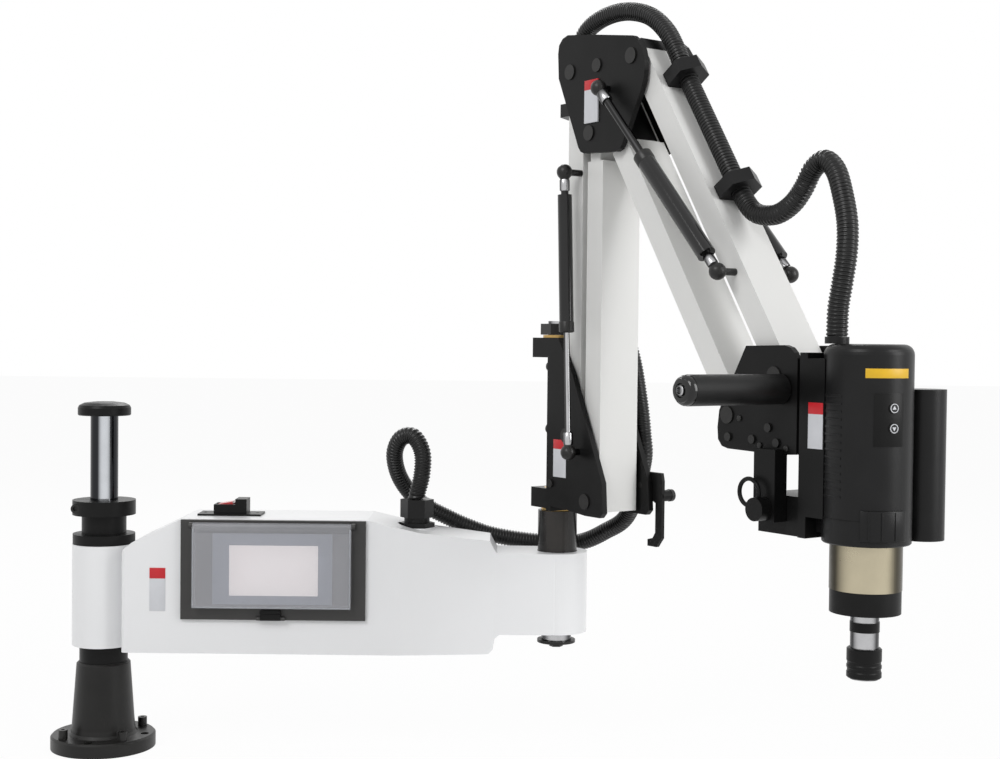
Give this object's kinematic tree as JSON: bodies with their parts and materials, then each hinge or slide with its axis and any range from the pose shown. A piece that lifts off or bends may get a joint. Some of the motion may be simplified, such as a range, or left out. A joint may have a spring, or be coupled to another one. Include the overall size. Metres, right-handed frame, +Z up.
{
  "type": "arm tapping machine",
  "caption": "Bench tapping machine: column with a swinging control arm, a gas-sprung parallelogram arm and a swivelling electric tapping head.",
  "frame": {"origin": "centre of the four foot bolts, on the underside of the pedestal's foot", "axes": "+X along the control arm from the column to the pivot shaft, +Z up along the column, -Y towards the screen side"},
  "size_m": [0.8832, 0.4694, 0.8049],
  "materials": {
    "cast_black": "satin",
    "black_steel": "satin",
    "chrome": "polished",
    "white_paint": "satin",
    "plain_steel": "machined",
    "black_screws": "oxide",
    "grey_frame": "fine texture",
    "screen": "gloss",
    "clear_cover": "clear",
    "black_plastic": "satin",
    "red_plastic": "gloss",
    "bronze": "machined",
    "tube_aluminium": "anodised",
    "gas_body": "gloss",
    "gear_body": "anodised",
    "button_plastic": "matte",
    "hose": "matte",
    "inner_unit": "matte"
  },
  "bodies": {
    "base": {"pedestal": "cast_black", "levelling_screws": "black_screws", "column": "chrome", "column_cap": "black_plastic", "lower_ring": "black_steel"},
    "height_clamp": {"bearing_flange": "black_steel", "clamp_collar": "black_steel", "collar_screw": "black_screws"},
    "control_arm": {"hub_sleeve": "white_paint", "arm_housing": "white_paint", "bottom_plate": "white_paint", "pivot_boss": "plain_steel", "drive_unit": "inner_unit", "screen_frame": "grey_frame", "touch_screen": "screen", "switch_plate": "black_plastic", "arm_gland": "black_plastic", "pivot_shaft": "plain_steel", "pivot_spacer": "black_steel", "pivot_fasteners": "black_screws"},
    "cover": {"screen_cover": "clear_cover"},
    "latch": {"cover_latch": "black_plastic"},
    "rocker": {"switch_rocker": "red_plastic"},
    "swing_bracket": {"swing_bracket": "black_steel", "pivot_bushes": "bronze", "bracket_screws": "black_screws", "lower_pins": "black_screws", "conduit_lower": "hose"},
    "hook": {"lock_hook": "black_steel"},
    "lower_rear": {"lower_rear_tube": "tube_aluminium", "lower_clip": "black_plastic"},
    "lower_front": {"lower_front_tube": "tube_aluminium"},
    "elbow": {"elbow_plates": "black_steel", "elbow_pins": "black_screws", "conduit_elbow": "hose"},
    "lower_rod": {"lower_gas_rod": "plain_steel"},
    "lower_cylinder": {"lower_gas_cylinder": "gas_body"},
    "upper_top": {"upper_top_tube": "tube_aluminium", "upper_clips": "black_plastic"},
    "upper_low": {"upper_low_tube": "tube_aluminium"},
    "upper_rods": {"upper_gas_rods": "plain_steel"},
    "upper_cylinders": {"upper_gas_cylinders": "gas_body"},
    "wrist": {"wrist_bracket": "black_steel", "wrist_pins": "black_screws", "side_handle": "black_plastic", "handle_core": "plain_steel", "conduit_head": "hose"},
    "plunger": {"index_plunger": "black_steel"},
    "head": {"swivel_flange": "black_steel", "head_carrier": "black_steel", "motor_cover": "black_plastic", "servo_motor": "inner_unit", "gearbox": "gear_body", "gearbox_flange": "black_steel", "connector_cover": "black_plastic", "head_gland": "black_plastic"},
    "button_up": {"button_up": "button_plastic"},
    "button_down": {"button_down": "button_plastic"},
    "spindle": {"spindle": "plain_steel"},
    "chuck": {"chuck_sleeve": "black_steel"}
  },
  "joints": [
    {"name": "height_slide", "type": "slide", "parent": "base", "child": "height_clamp", "axis": [0, 0, 1], "range_m": [0, 0.085]},
    {"name": "base_swing", "type": "hinge", "parent": "height_clamp", "child": "control_arm", "pos_m": [0, 0, 0.16], "axis": [0, 0, 1], "range_deg": [-120, 120]},
    {"name": "cover_hinge", "type": "hinge", "parent": "control_arm", "child": "cover", "pos_m": [0.1935, -0.0538, 0.252], "axis": [-1, 0, 0], "range_deg": [0, 110]},
    {"name": "latch_hinge", "type": "hinge", "parent": "control_arm", "child": "latch", "pos_m": [0.192, -0.0525, 0.1525], "axis": [1, 0, 0], "range_deg": [0, 60]},
    {"name": "rocker_tilt", "type": "hinge", "parent": "control_arm", "child": "rocker", "pos_m": [0.1355, 0, 0.267], "axis": [0, 1, 0], "range_deg": [0, 20]},
    {"name": "arm_swing", "type": "hinge", "parent": "control_arm", "child": "swing_bracket", "pos_m": [0.5, 0, 0.3], "axis": [0, 0, 1], "range_deg": [-60, 100], "deforming": ["conduit_lower"]},
    {"name": "hook_hinge", "type": "hinge", "parent": "swing_bracket", "child": "hook", "pos_m": [0.59029, -0.06618, 0.302], "axis": [-0.8192, -0.5736, 0], "range_deg": [0, 90]},
    {"name": "lower_tilt", "type": "hinge", "parent": "swing_bracket", "child": "lower_rear", "pos_m": [0.53327, -0.04751, 0.353], "axis": [0.8192, 0.5736, 0], "range_deg": [0, 45]},
    {"name": "lower_front_tilt", "type": "hinge", "parent": "swing_bracket", "child": "lower_front", "pos_m": [0.55219, -0.07454, 0.286], "axis": [0.8192, 0.5736, 0], "range_deg": [0, 45]},
    {"name": "elbow_level", "type": "hinge", "parent": "lower_rear", "child": "elbow", "pos_m": [0.53327, -0.04751, 0.735], "axis": [0.8192, 0.5736, 0], "range_deg": [-45, 0], "deforming": ["conduit_elbow"]},
    {"name": "lower_rod_tilt", "type": "hinge", "parent": "swing_bracket", "child": "lower_rod", "pos_m": [0.50681, -0.09167, 0.337], "axis": [0.8192, 0.5736, 0], "range_deg": [0, 44.5]},
    {"name": "lower_gas_stroke", "type": "slide", "parent": "lower_rod", "child": "lower_cylinder", "axis": [-0.0236, 0.0336, 0.9992], "range_m": [-0.0203, 0.0005]},
    {"name": "upper_tilt", "type": "hinge", "parent": "elbow", "child": "upper_top", "pos_m": [0.59005, -0.12861, 0.738], "axis": [-0.8192, -0.5736, 0], "range_deg": [-9, 60]},
    {"name": "upper_low_tilt", "type": "hinge", "parent": "elbow", "child": "upper_low", "pos_m": [0.55621, -0.08028, 0.7], "axis": [-0.8192, -0.5736, 0], "range_deg": [-9, 60]},
    {"name": "upper_rod_tilt", "type": "hinge", "parent": "elbow", "child": "upper_rods", "pos_m": [0.56998, -0.09994, 0.709], "axis": [-0.8192, -0.5736, 0], "range_deg": [-9, 57]},
    {"name": "upper_gas_stroke", "type": "slide", "parent": "upper_rods", "child": "upper_cylinders", "axis": [0.391, -0.5584, -0.7317], "range_m": [-0.0065, 0.041]},
    {"name": "wrist_level", "type": "hinge", "parent": "upper_top", "child": "wrist", "pos_m": [0.70689, -0.29546, 0.42434], "axis": [-0.8192, -0.5736, 0], "range_deg": [-60, 9], "deforming": ["conduit_head"]},
    {"name": "plunger_slide", "type": "slide", "parent": "wrist", "child": "plunger", "axis": [-0.8192, -0.5736, 0], "range_m": [0, 0.006]},
    {"name": "head_swivel", "type": "hinge", "parent": "wrist", "child": "head", "pos_m": [0.72295, -0.3184, 0.40004], "axis": [0.5736, -0.8192, 0], "range_deg": [0, 90]},
    {"name": "button_up_press", "type": "slide", "parent": "head", "child": "button_up", "axis": [-0.3256, 0.9455, 0], "range_m": [0, 0.001], "stiffness_N_per_m": 800},
    {"name": "button_down_press", "type": "slide", "parent": "head", "child": "button_down", "axis": [-0.3256, 0.9455, 0], "range_m": [0, 0.001], "stiffness_N_per_m": 800},
    {"name": "spindle_spin", "type": "hinge", "parent": "head", "child": "spindle", "pos_m": [0.7522, -0.36018, 0.2], "axis": [0, 0, 1], "continuous": true},
    {"name": "chuck_release", "type": "slide", "parent": "spindle", "child": "chuck", "axis": [0, 0, 1], "range_m": [0, 0.005], "stiffness_N_per_m": 1500}
  ],
  "couplings": [
    {"joint": "lower_front_tilt", "follows": "lower_tilt", "ratio": 1},
    {"joint": "elbow_level", "follows": "lower_tilt", "ratio": -1},
    {"joint": "lower_rod_tilt", "follows": "lower_tilt", "ratio": 0.965},
    {"joint": "lower_gas_stroke", "follows": "lower_tilt", "m_per_rad": -0.024},
    {"joint": "upper_low_tilt", "follows": "upper_tilt", "ratio": 1},
    {"joint": "upper_rod_tilt", "follows": "upper_tilt", "ratio": 0.935},
    {"joint": "upper_gas_stroke", "follows": "upper_tilt", "m_per_rad": 0.0385},
    {"joint": "wrist_level", "follows": "upper_tilt", "ratio": -1}
  ]
}
